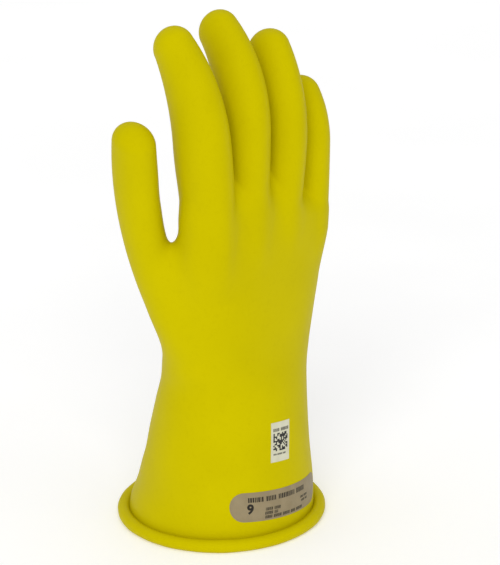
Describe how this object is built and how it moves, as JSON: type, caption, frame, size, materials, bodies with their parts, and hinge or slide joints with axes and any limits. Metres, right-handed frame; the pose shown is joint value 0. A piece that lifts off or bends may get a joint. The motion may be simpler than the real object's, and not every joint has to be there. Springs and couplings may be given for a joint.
{
  "type": "electrical insulating glove",
  "caption": "Dipped rubber glove for live electrical work, right hand, with curved fingers, a flared forearm cuff, a rolled edge and a bonded label.",
  "frame": {"origin": "centre of the arm opening, on the surface that the rolled cuff stands on", "axes": "+Z from the arm opening to the fingertips, +Y out of the palm, -Y out of the back of the hand, -X towards the thumb, +X towards the little finger"},
  "size_m": [0.1311, 0.1128, 0.2797],
  "materials": {
    "glove_rubber": "satin",
    "label_print": "matte",
    "sticker": "satin"
  },
  "bodies": {
    "cuff": {"cuff_bead": "glove_rubber", "gauntlet_sleeve": "glove_rubber", "class_label": "label_print", "test_sticker": "sticker", "wrist_flex": "glove_rubber"},
    "hand": {"hand_shell": "glove_rubber", "index_base_flex": "glove_rubber", "middle_base_flex": "glove_rubber", "ring_base_flex": "glove_rubber", "little_base_flex": "glove_rubber", "thumb_base_flex": "glove_rubber"},
    "index_lower": {"index_lower_sleeve": "glove_rubber", "index_middle_flex": "glove_rubber"},
    "index_upper": {"index_upper_sleeve": "glove_rubber", "index_tip_flex": "glove_rubber"},
    "index_tip": {"index_tip_cap": "glove_rubber"},
    "middle_lower": {"middle_lower_sleeve": "glove_rubber", "middle_middle_flex": "glove_rubber"},
    "middle_upper": {"middle_upper_sleeve": "glove_rubber", "middle_tip_flex": "glove_rubber"},
    "middle_tip": {"middle_tip_cap": "glove_rubber"},
    "ring_lower": {"ring_lower_sleeve": "glove_rubber", "ring_middle_flex": "glove_rubber"},
    "ring_upper": {"ring_upper_sleeve": "glove_rubber", "ring_tip_flex": "glove_rubber"},
    "ring_tip": {"ring_tip_cap": "glove_rubber"},
    "little_lower": {"little_lower_sleeve": "glove_rubber", "little_middle_flex": "glove_rubber"},
    "little_upper": {"little_upper_sleeve": "glove_rubber", "little_tip_flex": "glove_rubber"},
    "little_tip": {"little_tip_cap": "glove_rubber"},
    "thumb_lower": {"thumb_lower_sleeve": "glove_rubber", "thumb_tip_flex": "glove_rubber"},
    "thumb_tip": {"thumb_tip_cap": "glove_rubber"}
  },
  "joints": [
    {"name": "wrist_bend", "type": "hinge", "parent": "cuff", "child": "hand", "pos_m": [0.0008, -0.0114, 0.085], "axis": [-1, 0, 0], "range_deg": [-25, 35], "stiffness_Nm_per_rad": 1, "deforming": ["wrist_flex"]},
    {"name": "index_base_bend", "type": "hinge", "parent": "hand", "child": "index_lower", "pos_m": [-0.03459, -0.02443, 0.21017], "axis": [-0.9998, 0, -0.0175], "range_deg": [-15, 50], "stiffness_Nm_per_rad": 0.06, "deforming": ["index_base_flex"]},
    {"name": "index_middle_bend", "type": "hinge", "parent": "index_lower", "child": "index_upper", "pos_m": [-0.03496, -0.0223, 0.23123], "axis": [-0.9998, 0, -0.0175], "range_deg": [-20, 45], "stiffness_Nm_per_rad": 0.04, "deforming": ["index_middle_flex"]},
    {"name": "index_tip_bend", "type": "hinge", "parent": "index_upper", "child": "index_tip", "pos_m": [-0.03527, -0.01599, 0.24939], "axis": [-0.9998, 0, -0.0175], "range_deg": [-12.5, 27.5], "stiffness_Nm_per_rad": 0.03, "deforming": ["index_tip_flex"]},
    {"name": "middle_base_bend", "type": "hinge", "parent": "hand", "child": "middle_lower", "pos_m": [-0.00783, -0.02544, 0.21035], "axis": [-0.9981, 0, 0.061], "range_deg": [-15, 50], "stiffness_Nm_per_rad": 0.06, "deforming": ["middle_base_flex"]},
    {"name": "middle_middle_bend", "type": "hinge", "parent": "middle_lower", "child": "middle_upper", "pos_m": [-0.00642, -0.02407, 0.23329], "axis": [-0.9981, 0, 0.061], "range_deg": [-20, 45], "stiffness_Nm_per_rad": 0.04, "deforming": ["middle_middle_flex"]},
    {"name": "middle_tip_bend", "type": "hinge", "parent": "middle_upper", "child": "middle_tip", "pos_m": [-0.00529, -0.01712, 0.25183], "axis": [-0.9981, 0, 0.061], "range_deg": [-12.5, 27.5], "stiffness_Nm_per_rad": 0.03, "deforming": ["middle_tip_flex"]},
    {"name": "ring_base_bend", "type": "hinge", "parent": "hand", "child": "ring_lower", "pos_m": [0.01741, -0.02682, 0.20774], "axis": [-0.9966, 0, 0.0819], "range_deg": [-15, 50], "stiffness_Nm_per_rad": 0.06, "deforming": ["ring_base_flex"]},
    {"name": "ring_middle_bend", "type": "hinge", "parent": "ring_lower", "child": "ring_upper", "pos_m": [0.019, -0.02538, 0.22704], "axis": [-0.9966, 0, 0.0819], "range_deg": [-20, 45], "stiffness_Nm_per_rad": 0.04, "deforming": ["ring_middle_flex"]},
    {"name": "ring_tip_bend", "type": "hinge", "parent": "ring_upper", "child": "ring_tip", "pos_m": [0.02036, -0.02056, 0.24358], "axis": [-0.9966, 0, 0.0819], "range_deg": [-12.5, 27.5], "stiffness_Nm_per_rad": 0.03, "deforming": ["ring_tip_flex"]},
    {"name": "little_base_bend", "type": "hinge", "parent": "hand", "child": "little_lower", "pos_m": [0.04064, -0.02281, 0.19667], "axis": [-0.9959, 0, 0.0906], "range_deg": [-15, 50], "stiffness_Nm_per_rad": 0.06, "deforming": ["little_base_flex"]},
    {"name": "little_middle_bend", "type": "hinge", "parent": "little_lower", "child": "little_upper", "pos_m": [0.0418, -0.02198, 0.20942], "axis": [-0.9959, 0, 0.0906], "range_deg": [-20, 35], "stiffness_Nm_per_rad": 0.04, "deforming": ["little_middle_flex"]},
    {"name": "little_tip_bend", "type": "hinge", "parent": "little_upper", "child": "little_tip", "pos_m": [0.04273, -0.01848, 0.21968], "axis": [-0.9959, 0, 0.0906], "range_deg": [-12.5, 21.5], "stiffness_Nm_per_rad": 0.03, "deforming": ["little_tip_flex"]},
    {"name": "thumb_base_bend", "type": "hinge", "parent": "hand", "child": "thumb_lower", "pos_m": [-0.0548, -0.00107, 0.17594], "axis": [-0.977, 0, -0.213], "range_deg": [-10, 35], "stiffness_Nm_per_rad": 0.06, "deforming": ["thumb_base_flex"]},
    {"name": "thumb_tip_bend", "type": "hinge", "parent": "thumb_lower", "child": "thumb_tip", "pos_m": [-0.06031, -0.00336, 0.2012], "axis": [-0.977, 0, -0.213], "range_deg": [-10, 45], "stiffness_Nm_per_rad": 0.03, "deforming": ["thumb_tip_flex"]}
  ],
  "couplings": [
    {"joint": "index_tip_bend", "follows": "index_middle_bend", "ratio": 0.6},
    {"joint": "middle_tip_bend", "follows": "middle_middle_bend", "ratio": 0.6},
    {"joint": "ring_tip_bend", "follows": "ring_middle_bend", "ratio": 0.6},
    {"joint": "little_tip_bend", "follows": "little_middle_bend", "ratio": 0.6}
  ]
}
